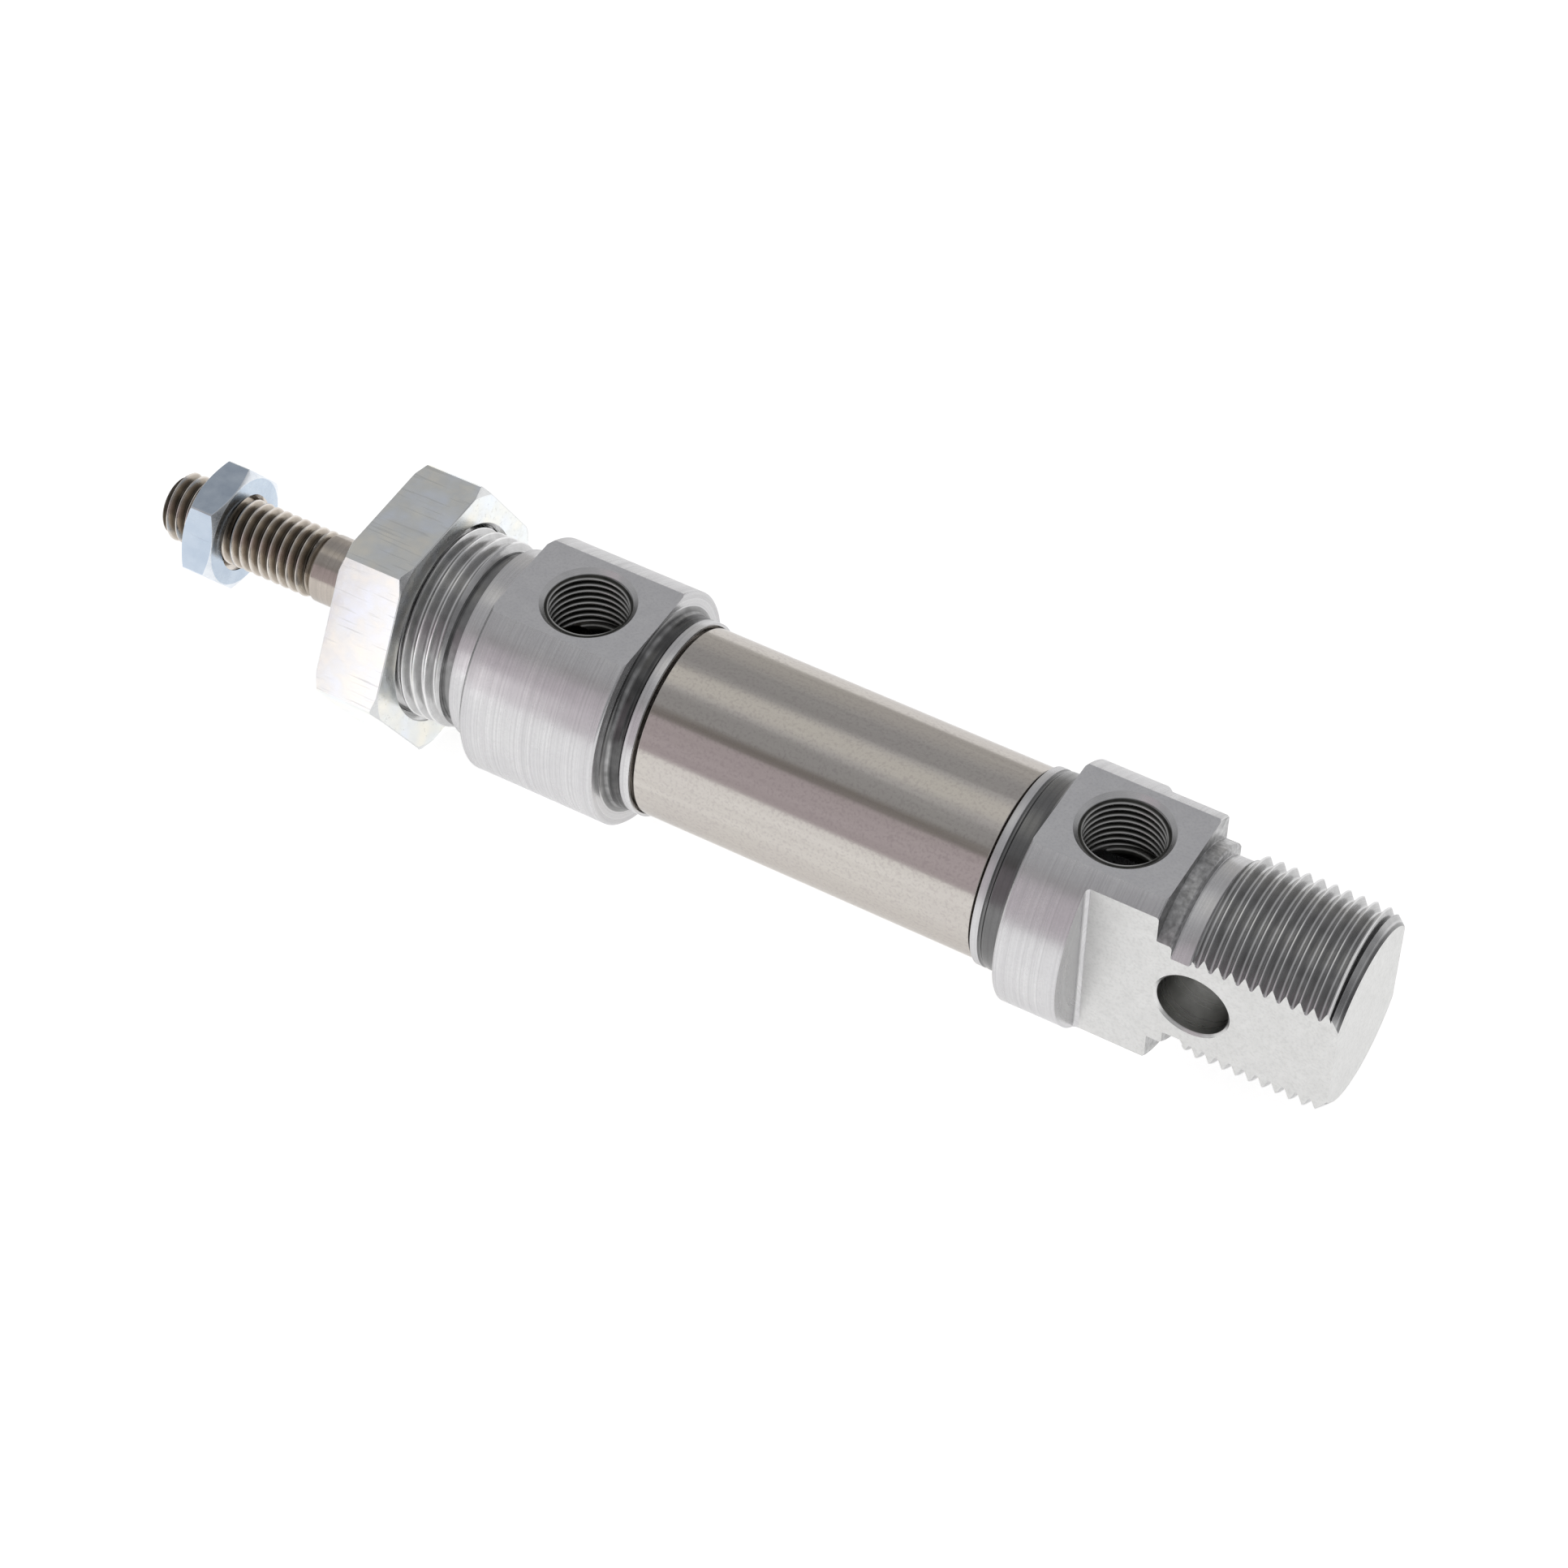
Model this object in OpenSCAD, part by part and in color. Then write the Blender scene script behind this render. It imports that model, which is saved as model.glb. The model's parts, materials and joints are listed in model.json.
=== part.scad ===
// Round pneumatic cylinder, double acting, with a threaded nose and a threaded, flatted tail.
// Millimetres. +X points out of the nose along the rod, +Z through the two air ports,
// +Y out of one of the tail's milled flats. The origin is on the cylinder's axis, in the
// plane of the front shoulder, and the rod is drawn fully in.

/* [Cylinder] */
// Travel of the piston
stroke = 15; // [5:1:80]
// Bore of the barrel
bore_d = 20; // [19.8:0.1:20.2]
// Wall thickness of the barrel
tube_wall = 0.8; // [0.6:0.1:1]
// Diameter of both end caps
cap_d = 27.2; // [26.6:0.1:28.4]
// Length of the front cap's body
front_body = 16.8; // [15.5:0.1:24]
// Length of the rear cap's body
rear_body = 15.4; // [14.5:0.1:24]
// Length of the lip that grips the barrel, on the front cap
front_lip = 3.2; // [2.8:0.1:4.5]
// Length of the lip that grips the barrel, on the rear cap
rear_lip = 3.8; // [2.8:0.1:4.5]

/* [Air ports] */
// Height of the flat that each port opens from, above the axis
port_flat_z = 12.1; // [11.6:0.1:13]
// Wall diameter of the tapped G1/8 hole
port_d = 8.57; // [8.4:0.01:8.9]
// Outer diameter of the port's countersink
port_mouth_d = 10.6; // [10:0.1:11]
// Depth of the tapped hole below its flat
port_depth = 7.8; // [7:0.1:7.8]
// Distance from the front shoulder to the front port
front_port_x = 8.5; // [7:0.1:8.8]
// Distance from the rear cap's front edge to the rear port
rear_port_x = 7.5; // [6:0.1:8]

/* [Nose and tail] */
// Diameter of the M22 nose and tail threads
stud_d = 22; // [21.9:0.01:22]
// Length of the nose in front of the shoulder
nose_len = 18; // [17.5:0.1:24]
// Length of the plain register at the root of the nose
nose_register = 3; // [2:0.1:4]
// Length of the tail behind the rear cap's body
tail_len = 20.2; // [18:0.1:26]
// Length of the plain register at the root of the tail
tail_register = 1.7; // [1:0.1:2]
// Width across the tail's two milled flats
tail_flats = 16; // [15:0.1:17]
// Distance from the rear cap's front edge to the start of the flats
flats_x = 7.3; // [6:0.1:12]
// Diameter of the cross hole in the tail
cross_d = 8; // [6:0.1:8.2]
// Distance from the rear cap's body to the cross hole
cross_x = 4.5; // [4.4:0.1:8]

/* [Rod] */
// Diameter of the piston rod and of its M8 end
rod_d = 8; // [7.9:0.01:8]
// Length of the thread on the rod's end
rod_thread = 20; // [16:0.5:30]
// Distance from the front shoulder to the rod's thread, rod fully in
rod_reach = 26.4; // [26:0.1:32]

/* [Nuts] */
// Width across the flats of the nose nut
nose_nut_af = 27.7; // [27:0.1:32]
// Thickness of the nose nut
nose_nut_t = 8; // [6:0.1:8.5]
// Distance from the front shoulder to the nose nut
nose_nut_x = 9.3; // [4.6:0.1:9.5]
// Turn of the nose nut about the axis
nose_nut_turn = 31.5; // [0:0.5:60]
// Width across the flats of the rod nut
rod_nut_af = 13; // [12:0.1:14]
// Thickness of the rod nut
rod_nut_t = 4; // [3:0.1:6]
// Distance from the rod's tip back to the rod nut
rod_nut_x = 5; // [1:0.1:8]
// Turn of the rod nut about the axis
rod_nut_turn = 37.5; // [0:0.5:60]

/* [Piston] */
// Length of the piston over both halves
piston_len = 19.1; // [18:0.1:24]
// Thickness of the soft end stops
bumper_t = 2; // [1.5:0.1:3]
// Width of the ring magnet
magnet_w = 4; // [3:0.1:5]
// Width of the guide ring
guide_w = 5.6; // [5.2:0.1:6]
// Width of each lip seal
seal_w = 3; // [2.4:0.1:3.2]

/* [Hidden] */
$fn = 96;
over = 1;                 // how far a cutter runs past the surface that it opens

// Radii
bore_r = bore_d / 2;
tube_r = bore_r + tube_wall;
cap_r = cap_d / 2;
stud_r = stud_d / 2;
rod_r = rod_d / 2;
port_r = port_d / 2;

// Clearances
slip = 0.05;              // between parts that slide into each other at assembly
run = 0.03;               // between parts that run on each other
press = 0.02;             // left between a pressed bush and its seat
end_gap = 0.1;            // between the piston and an end stop when they meet

// Rounded details
break_edge = 0.4;         // broken edge at the front shoulder
edge = 0.2;               // small broken edge
thread_chamfer = 1;       // chamfer at the tip of the nose
tail_chamfer = 1.3;       // chamfer at the tip of the tail
rod_chamfer = 0.8;        // chamfer at the tip of the rod
relief_w = 1.4;           // undercut behind the nose thread
relief_r = stud_r - 1.1;  // its radius
neck_w = 2.3;             // undercut behind the tail thread

// Lip that grips the barrel
lip_wall = 0.35;
lip_r = tube_r + slip + lip_wall;
lip_bead = 1.1;           // plain bead at the lip's mouth
roll_depth = 0.2;         // rolled groove behind the bead
roll_w = 0.6;
root_fillet = 0.9;        // hollow where the lip meets the cap's face

// Spigot inside the barrel, with its O-ring
spigot_extra = 1.4;       // how far the spigot runs past the lip
spigot_r = bore_r - slip;
seat_depth = 1.8;         // how deep the barrel's end sits in the cap's body
oring_cord = 1.25;
oring_groove_w = 1.9;
oring_groove_x = 0.6;     // from the spigot's face to the groove
oring_groove_r = bore_r - oring_cord;
pocket_r = 5.2;           // air space between port and chamber

// Inside the nose
bush_r = 6;
bush_in = 3.6;            // rear end of the bush's bore, behind the shoulder
seal_seat = 11;           // rear face of the seal's pocket, and front end of the bush's bore
seal_bore = 7;
seal_len = 4.2;
retainer_t = 1;
ring_t = 0.8;
ring_slot = 1;
ring_depth = 0.5;

// Piston
piston_r = bore_r - 0.2;
tail_pin_r = 3;           // rod's turned-down end inside the piston
hub_r = 5.5;
magnet_r = 8.5;
guide_r = 8.6;            // inside radius of the guide ring
seal_groove_r = 7.5;
seal_off = 4.9;           // from the piston's middle to each seal groove
nut_af = 10;
nut_t = 4.2;
nut_pocket_r = 6.2;
small_cord = 1.16;        // cord of the O-ring between rod and piston
bumper_in_r = 6.2;
bumper_out_r = bore_r - 0.4;

// Places along the axis
front_end = -front_body;
front_lip_x = front_end - front_lip;
front_face = front_lip_x - spigot_extra;
chamber = stroke + piston_len + 2 * bumper_t + 2 * end_gap;
rear_face = front_face - chamber;
rear_lip_x = rear_face - spigot_extra;
rear_start = rear_lip_x - rear_lip;
rear_end = rear_start - rear_body;
tail_end = rear_end - tail_len;
piston_back = rear_face + bumper_t + end_gap;
piston_face = piston_back + piston_len;
piston_mid = (piston_back + piston_face) / 2;
rod_tip = rod_reach + rod_thread;
retainer_x = seal_seat + seal_len;
ring_x = retainer_x + retainer_t + 0.1;

aluminium = [0.80, 0.80, 0.82];
stainless = [0.70, 0.67, 0.64];
zinc = [0.72, 0.76, 0.80];
rubber = [0.10, 0.10, 0.11];

// Turns a [radius, x] outline about the X axis.
module turned(outline) rotate([0, 90, 0]) rotate_extrude() polygon(outline);

// A plain ring between two radii and two places on the axis.
module ring(inner, outer, from, to)
    turned([[inner, from], [outer, from], [outer, to], [inner, to]]);

// An O-ring of the given cord, centred on a radius and a place on the axis.
module oring(mid_r, cord, x)
    translate([x, 0, 0]) rotate([0, 90, 0]) rotate_extrude() translate([mid_r, 0]) circle(d = cord, $fn = 32);

// Outline of a gripping lip and of the cap face behind it, from the cap's edge to the lip's mouth.
// dir is +1 where the lip points along -X and -1 where it points along +X.
function lip_points(start, length, dir) = [
    [cap_r, start + dir * edge],
    [cap_r - edge, start],
    [lip_r + root_fillet, start],
    for (a = [15:15:75]) [lip_r + root_fillet * (1 - sin(a)), start - dir * root_fillet * (1 - cos(a))],
    [lip_r, start - dir * root_fillet],
    [lip_r, start - dir * (length - lip_bead - roll_w)],
    [lip_r - roll_depth, start - dir * (length - lip_bead - roll_w * 2 / 3)],
    [lip_r - roll_depth, start - dir * (length - lip_bead - roll_w / 3)],
    [lip_r, start - dir * (length - lip_bead)],
    [lip_r, start - dir * length],
    [tube_r + slip, start - dir * length]];

// Outline of the barrel's seat and of the spigot, from the lip's mouth to the air pocket.
function spigot_points(start, face, dir) = [
    [tube_r + slip, start + dir * seat_depth],
    [spigot_r, start + dir * seat_depth],
    [spigot_r, face + dir * (oring_groove_x + oring_groove_w)],
    [oring_groove_r, face + dir * (oring_groove_x + oring_groove_w)],
    [oring_groove_r, face + dir * oring_groove_x],
    [spigot_r, face + dir * oring_groove_x],
    [spigot_r, face + dir * edge],
    [spigot_r - edge, face],
    [pocket_r, face]];

function reversed(points) = let (last = len(points) - 1) [for (i = [0:last]) points[last - i]];

// Cutter for one tapped port with its countersink, and for the flat around it.
module port_cut(x, from, to) {
    mouth_r = port_mouth_d / 2;
    translate([x, 0, port_flat_z - port_depth]) cylinder(r = port_r, h = port_depth + over);
    translate([x, 0, port_flat_z - (mouth_r - port_r)])
        cylinder(r1 = port_r, r2 = mouth_r + over, h = mouth_r - port_r + over);
    translate([from - over, -cap_r - over, port_flat_z])
        cube([to - from + 2 * over, 2 * (cap_r + over), cap_r]);
}

module front_cap() {
    outline = concat([
        [seal_bore, nose_len],
        [stud_r - thread_chamfer, nose_len],
        [stud_r, nose_len - thread_chamfer],
        [stud_r, nose_register + relief_w],
        [relief_r, nose_register + relief_w],
        [relief_r, nose_register],
        [stud_r - edge, nose_register],
        [stud_r, nose_register - edge],
        [stud_r, 0],
        [cap_r - break_edge, 0],
        [cap_r, -break_edge]],
        lip_points(front_end, front_lip, 1),
        spigot_points(front_end, front_face, 1), [
        [pocket_r, -bush_in],
        [bush_r, -bush_in],
        [bush_r, seal_seat],
        [seal_bore, seal_seat],
        [seal_bore, ring_x - 0.1],
        [seal_bore + ring_depth, ring_x - 0.1],
        [seal_bore + ring_depth, ring_x - 0.1 + ring_slot],
        [seal_bore, ring_x - 0.1 + ring_slot]]);
    color(aluminium) difference() {
        turned(outline);
        port_cut(-front_port_x, front_end, 0);
    }
}

// Cutter for one milled flat, with the small fillet at its shoulder.
module flat_cut() {
    fillet = 0.5;
    shoulder = rear_start - flats_x;
    translate([0, 0, -cap_r - over]) linear_extrude(2 * (cap_r + over)) difference() {
        translate([tail_end - over, tail_flats / 2])
            square([shoulder - tail_end + over, cap_r]);
        difference() {
            translate([shoulder - fillet, tail_flats / 2]) square(fillet);
            translate([shoulder - fillet, tail_flats / 2 + fillet]) circle(fillet);
        }
    }
}

module rear_cap() {
    pocket_end = rear_start - rear_port_x - port_r - 0.8;
    cross_r = cross_d / 2;
    cross_edge = 0.3;
    outline = concat(
        [[0, pocket_end], [pocket_r, pocket_end]],
        reversed(spigot_points(rear_start, rear_face, -1)),
        reversed(lip_points(rear_start, rear_lip, -1)), [
        [cap_r, rear_end + edge],
        [cap_r - edge, rear_end],
        [stud_r, rear_end],
        [stud_r, rear_end - tail_register],
        [relief_r, rear_end - tail_register],
        [relief_r, rear_end - tail_register - neck_w],
        [stud_r, rear_end - tail_register - neck_w],
        [stud_r, tail_end + tail_chamfer],
        [stud_r - tail_chamfer, tail_end],
        [0, tail_end]]);
    color(aluminium) difference() {
        turned(outline);
        port_cut(rear_start - rear_port_x, rear_end, rear_start);
        flat_cut();
        mirror([0, 1, 0]) flat_cut();
        translate([rear_end - cross_x, 0, 0]) {
            rotate([90, 0, 0]) cylinder(r = cross_r, h = tail_flats + 2 * over, center = true);
            for (side = [-1, 1]) translate([0, side * (tail_flats / 2 + over), 0]) rotate([side * 90, 0, 0])
                cylinder(r1 = cross_r + cross_edge + over, r2 = cross_r, h = cross_edge + over);
        }
    }
}

module barrel_tube()
    color(stainless) ring(bore_r, tube_r, rear_start - seat_depth + slip, front_end + seat_depth - slip);

module rod_bush()
    color([0.62, 0.48, 0.30]) ring(rod_r + run, bush_r - press, -bush_in, seal_seat - slip);

// Rod seal: a U cup that opens towards the chamber, with a wiping lip at its front.
module rod_seal() {
    lip = rod_r + run;
    out = seal_bore - slip;
    color(rubber) translate([seal_seat, 0, 0]) turned([
        [out, slip], [out, seal_len - slip], [lip + 0.9, seal_len - slip], [lip, seal_len - 0.4],
        [lip, seal_len - 0.9], [lip + 0.5, seal_len - 1.4], [lip + 0.5, 1.6], [lip, 0.9],
        [lip, slip], [lip + 0.8, slip], [lip + 1.3, 1.5], [lip + 1.9, slip]]);
}

module seal_retainer()
    color(zinc) ring(rod_r + 0.5, seal_bore - slip, retainer_x, retainer_x + retainer_t);

// Internal retaining ring with two lugs beside its gap.
module snap_ring() {
    out = seal_bore + ring_depth - 0.1;
    band = 1.1;
    lug_mid = 6.1;
    lug_turn = 17;
    gap = 1.6;
    color(zinc) translate([ring_x, 0, 0]) rotate([90, 0, 90]) linear_extrude(ring_t) difference() {
        union() {
            difference() { circle(out); circle(out - band); }
            for (side = [-1, 1]) rotate(side * lug_turn) translate([0, lug_mid]) circle(1);
        }
        translate([-gap / 2, lug_mid - 2]) square([gap, 4]);
        for (side = [-1, 1]) rotate(side * lug_turn) translate([0, lug_mid - 0.1]) circle(0.45);
    }
}

// Soft end stop on a cap's spigot.
module bumper(from) color([0.16, 0.30, 0.22]) turned([
    [bumper_in_r, from], [bumper_out_r - edge, from], [bumper_out_r, from + edge],
    [bumper_out_r, from + bumper_t - edge], [bumper_out_r - edge, from + bumper_t],
    [bumper_in_r, from + bumper_t]]);
module front_bumper() bumper(front_face - bumper_t);
module rear_bumper() bumper(rear_face);

// O-rings between the spigots and the barrel.
module tube_oring(x) color(rubber) oring(bore_r - oring_cord / 2, oring_cord - press, x);
module front_tube_oring() tube_oring(front_face + oring_groove_x + oring_groove_w / 2);
module rear_tube_oring() tube_oring(rear_face - oring_groove_x - oring_groove_w / 2);

// Rod: a turned-down tail inside the piston, the ground shank and the threaded end.
module piston_rod()
    color([0.58, 0.54, 0.50]) turned([
        [0, piston_back + edge], [tail_pin_r - edge, piston_back + edge],
        [tail_pin_r, piston_back + 2 * edge], [tail_pin_r, piston_face],
        [rod_r, piston_face], [rod_r, rod_tip - rod_chamfer], [rod_r - rod_chamfer, rod_tip],
        [0, rod_tip]]);

// Hexagon nut with both faces chamfered. face_r is the radius of the flat part of a face,
// hole_r the radius of the bore and sink the depth of its countersinks.
module hex_nut(af, thick, hole_r, face_r, sink, turn) {
    corner_r = af / 2 / cos(30);
    slope = (corner_r - face_r) * tan(30);
    intersection() {
        turned([
            [hole_r + sink, 0], [face_r, 0], [corner_r, slope], [corner_r, thick - slope],
            [face_r, thick], [hole_r + sink, thick], [hole_r, thick - sink], [hole_r, sink]]);
        rotate([0, 90, 0]) rotate([0, 0, -turn]) translate([0, 0, -over])
            cylinder(r = corner_r, h = thick + 2 * over, $fn = 6);
    }
}

module nose_nut()
    color(zinc) translate([nose_nut_x, 0, 0])
        hex_nut(nose_nut_af, nose_nut_t, stud_r + slip, nose_nut_af * 0.54, 0.6, nose_nut_turn);

module rod_nut()
    color([0.66, 0.72, 0.80]) translate([rod_tip - rod_nut_x - rod_nut_t, 0, 0])
        hex_nut(rod_nut_af, rod_nut_t, rod_r + slip, rod_nut_af * 0.49, 0.4, rod_nut_turn);

// One half of the piston, measured from the middle outwards. The halves meet on their hubs,
// inside the ring magnet, and each carries a lip seal in its own groove.
module piston_half() {
    pin_bore = tail_pin_r + slip;
    half = piston_len / 2;
    step_r = guide_r - slip;
    cord_seat_r = pin_bore + small_cord;
    cord_seat_w = small_cord / 2 + slip;
    guide_end = guide_w / 2 + slip;
    groove_end = seal_off + seal_w + 2 * slip;
    turned([
        [cord_seat_r, 0], [hub_r, 0], [hub_r, magnet_w / 2 + slip], [step_r, magnet_w / 2 + slip],
        [step_r, guide_end], [piston_r, guide_end], [piston_r, seal_off], [seal_groove_r, seal_off],
        [seal_groove_r, groove_end], [piston_r, groove_end], [piston_r, half - edge],
        [piston_r - edge, half], [pin_bore, half], [pin_bore, cord_seat_w],
        [cord_seat_r, cord_seat_w]]);
}

module piston_front() color(aluminium) translate([piston_mid, 0, 0]) piston_half();

module piston_rear() {
    pocket = nut_t + 2 * edge;
    color(aluminium) difference() {
        translate([piston_mid, 0, 0]) mirror([1, 0, 0]) piston_half();
        translate([piston_back - over, 0, 0])
            rotate([0, 90, 0]) cylinder(r = nut_pocket_r, h = pocket + over);
    }
}

module piston_magnet()
    color([0.22, 0.21, 0.22])
        ring(hub_r + slip, magnet_r, piston_mid - magnet_w / 2, piston_mid + magnet_w / 2);

module guide_ring()
    color([0.86, 0.82, 0.70])
        ring(guide_r, bore_r - run, piston_mid - guide_w / 2, piston_mid + guide_w / 2);

// Lip seal of the piston, measured from the middle outwards. It opens outwards.
module piston_seal() {
    root = seal_groove_r + run;
    lip = bore_r - run;
    from = seal_off + slip;
    to = from + seal_w;
    color(rubber) turned([
        [root, from], [lip - 0.4, from], [lip - 0.25, from + 0.8], [lip, to - 0.6], [lip - 0.1, to],
        [lip - 0.6, to], [(root + lip) / 2, from + 1.3], [root + 0.6, to], [root, to]]);
}
module front_piston_seal() translate([piston_mid, 0, 0]) piston_seal();
module rear_piston_seal() translate([piston_mid, 0, 0]) mirror([1, 0, 0]) piston_seal();

module piston_oring()
    color(rubber) oring(tail_pin_r + slip + small_cord / 2, small_cord - press, piston_mid);

module piston_nut()
    color(zinc) translate([piston_back + 2 * edge, 0, 0])
        hex_nut(nut_af, nut_t, tail_pin_r + slip, nut_af * 0.5, 0.3, 0);

front_cap();
rear_cap();
barrel_tube();
nose_nut();
rod_bush();
rod_seal();
seal_retainer();
snap_ring();
front_bumper();
rear_bumper();
front_tube_oring();
rear_tube_oring();
piston_rod();
rod_nut();
piston_front();
piston_rear();
piston_magnet();
guide_ring();
front_piston_seal();
rear_piston_seal();
piston_oring();
piston_nut();
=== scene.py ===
import json
import math

import bmesh
import bpy
from mathutils import Matrix, Vector


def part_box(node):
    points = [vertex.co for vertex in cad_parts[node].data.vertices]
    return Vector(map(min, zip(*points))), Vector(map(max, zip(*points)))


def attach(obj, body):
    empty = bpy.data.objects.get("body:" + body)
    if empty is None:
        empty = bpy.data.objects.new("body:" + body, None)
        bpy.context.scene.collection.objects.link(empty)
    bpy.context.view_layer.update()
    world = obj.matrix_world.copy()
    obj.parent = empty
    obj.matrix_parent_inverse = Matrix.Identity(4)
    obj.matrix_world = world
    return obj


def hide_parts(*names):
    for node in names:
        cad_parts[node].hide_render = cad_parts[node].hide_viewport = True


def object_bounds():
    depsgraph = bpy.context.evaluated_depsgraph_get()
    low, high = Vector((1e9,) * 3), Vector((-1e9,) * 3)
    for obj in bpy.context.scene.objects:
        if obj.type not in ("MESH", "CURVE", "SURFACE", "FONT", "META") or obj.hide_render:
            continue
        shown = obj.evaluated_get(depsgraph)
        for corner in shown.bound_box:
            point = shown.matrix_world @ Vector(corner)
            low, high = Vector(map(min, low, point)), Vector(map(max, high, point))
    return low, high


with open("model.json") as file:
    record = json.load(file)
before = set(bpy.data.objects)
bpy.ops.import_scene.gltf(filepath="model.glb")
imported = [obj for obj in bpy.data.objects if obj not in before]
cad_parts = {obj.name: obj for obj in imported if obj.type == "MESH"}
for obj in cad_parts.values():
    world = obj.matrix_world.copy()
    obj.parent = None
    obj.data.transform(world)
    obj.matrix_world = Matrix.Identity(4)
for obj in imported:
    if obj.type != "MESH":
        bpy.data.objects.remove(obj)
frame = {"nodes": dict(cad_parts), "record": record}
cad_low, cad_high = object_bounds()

# Sizes are in millimetres until a mesh is made, and angles are in degrees. A point of an outline is
# (x, r): a place along the cylinder's axis and a distance from it.
MM = 0.001
RECORD = frame["record"]
MOUNTS = {m["name"]: m for m in RECORD["mounts"]}


# ---------------------------------------------------------------- sizes, from the frame where it has them

def span(node, axis=0):
    """The lowest and highest coordinate of a CAD node along one axis, in mm."""
    low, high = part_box(node)
    return low[axis] / MM, high[axis] / MM


def mount_radius(name):
    return MOUNTS[name]["dims"]["r_mm"]


def mount_place(name, axis=0):
    return MOUNTS[name]["pos_m"][axis] / MM


FRONT_FACE, NOSE_TIP = span("front_cap")
TAIL_END, REAR_FACE = span("rear_cap")
TUBE_REAR, TUBE_FRONT = span("barrel_tube")
ROD_BACK, ROD_TIP = span("piston_rod")
NOSE_NUT_REAR, NOSE_NUT_FRONT = span("nose_nut")
ROD_NUT_REAR, ROD_NUT_FRONT = span("rod_nut")
PISTON_FACE = span("piston_front")[1]
CAP_R = span("front_cap", 1)[1]
TUBE_R = span("barrel_tube", 1)[1]
STUD_R = mount_radius("nose_thread")
ROD_R = mount_radius("rod_thread")
ROD_THREAD_START = ROD_TIP - MOUNTS["rod_thread"]["dims"]["length_mm"]
CROSS_R = mount_radius("tail_pivot_bore")
CROSS_X = mount_place("tail_pivot_bore")
PORT_R = mount_radius("front_port")
TAIL_FLAT_Y = mount_place("tail_flat_left", 1)

# ---------------------------------------------------------------- sizes that the frame doesn't hold

M22_PITCH = 1.5
M8_PITCH = 1.25
G18_PITCH = 0.907
G18_R = 4.864
PORT_FLAT_Z = 12.1
PORT_MOUTH_R = 5.3
PORT_FLOOR_Z = 4.3
PORT_THREAD_Z = 4.9        # where the port's thread starts
FRONT_BODY = 16.8          # length of each cap's thick body
REAR_BODY = 15.4
FRONT_LIP = 3.2            # how far each lip reaches over the barrel
REAR_LIP = 3.8
FRONT_BEAD = 1.1           # width left beyond the lip's rolled groove
REAR_BEAD = 0.8
SPIGOT_EXTRA = 1.4         # how far each spigot runs past its lip
SLIP = 0.05
BEVEL = 0.2
BORE_R = 10.0
POCKET_R = 5.2             # air space between a port and its chamber
RELIEF_R = STUD_R - 1.1    # root of the undercut beside each M22 thread
FLAT_SHOULDER = 7.3        # from the rear lip's root to the end of the tail's flats
NOSE_NUT_ACROSS = 27.7
ROD_NUT_ACROSS = 13.0


# ---------------------------------------------------------------- outlines

def softened(points, radius=0.06, steps=3, closed=False):
    """The outline with a small arc at each corner.

    It always gives the same number of points, so that outlines which vary with the turn still line up. The
    ends of an open outline stay as they are.
    """
    side_share = 0.45      # of each side, at most, so that the arcs at its two ends never meet
    count = len(points)
    out = []
    for i, (x, r) in enumerate(points):
        if not closed and i in (0, count - 1):
            out.append((x, r))
            continue
        ax, ar = points[i - 1]
        bx, br = points[(i + 1) % count]
        to_a = math.hypot(ax - x, ar - r)
        to_b = math.hypot(bx - x, br - r)
        reach = min(radius, side_share * to_a, side_share * to_b)
        if reach < 1e-6:
            out += [(x, r)] * (steps + 1)
            continue
        start = (x + (ax - x) / to_a * reach, r + (ar - r) / to_a * reach)
        end = (x + (bx - x) / to_b * reach, r + (br - r) / to_b * reach)
        for k in range(steps + 1):
            t = k / steps
            out.append(tuple((1 - t) ** 2 * s + 2 * t * (1 - t) * c + t * t * e
                             for s, c, e in zip(start, (x, r), end)))
    return out


# One pitch of a 60 degree thread, as (share of the pitch, share of the depth) from crest to crest.
THREAD_FORM = [(0.0, 0.05), (0.02, 0.0), (0.105, 0.0), (0.125, 0.05), (0.24, 0.37), (0.36, 0.71),
               (0.455, 0.95), (0.50, 1.0), (0.5625, 1.02), (0.625, 1.0), (0.67, 0.95), (0.765, 0.71),
               (0.885, 0.37)]
THREAD_DEPTH = 0.6134      # of the pitch


def thread_depth(phase):
    """Depth below the crest at a place in one pitch, as a share of the full depth."""
    phase %= 1.0
    form = THREAD_FORM + [(1.0, THREAD_FORM[0][1])]
    for (a, da), (b, db) in zip(form, form[1:]):
        if phase <= b:
            return da + (db - da) * (phase - a) / (b - a)
    return form[-1][1]


def thread(start, end, crest_r, pitch, turn, offset=0.0, cut=1.0, limit=None):
    """Outline points of a right-handed thread from start to end, at a turn from 0 to 1 about the axis.

    cut is 1 for a groove cut into the crest's cylinder, and -1 for one cut outwards. limit(x) caps the
    radius.
    """
    first = start - 2 * pitch + offset % pitch
    out = []
    for k in range(math.ceil((end - start) / pitch) + 3):
        for share, _ in THREAD_FORM:
            x = min(max(first + pitch * (k + share + turn), start), end)
            depth = thread_depth((x - first) / pitch - turn) * THREAD_DEPTH * pitch
            r = crest_r - cut * depth
            out.append((x, min(r, limit(x)) if limit else r))
    return out


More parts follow.
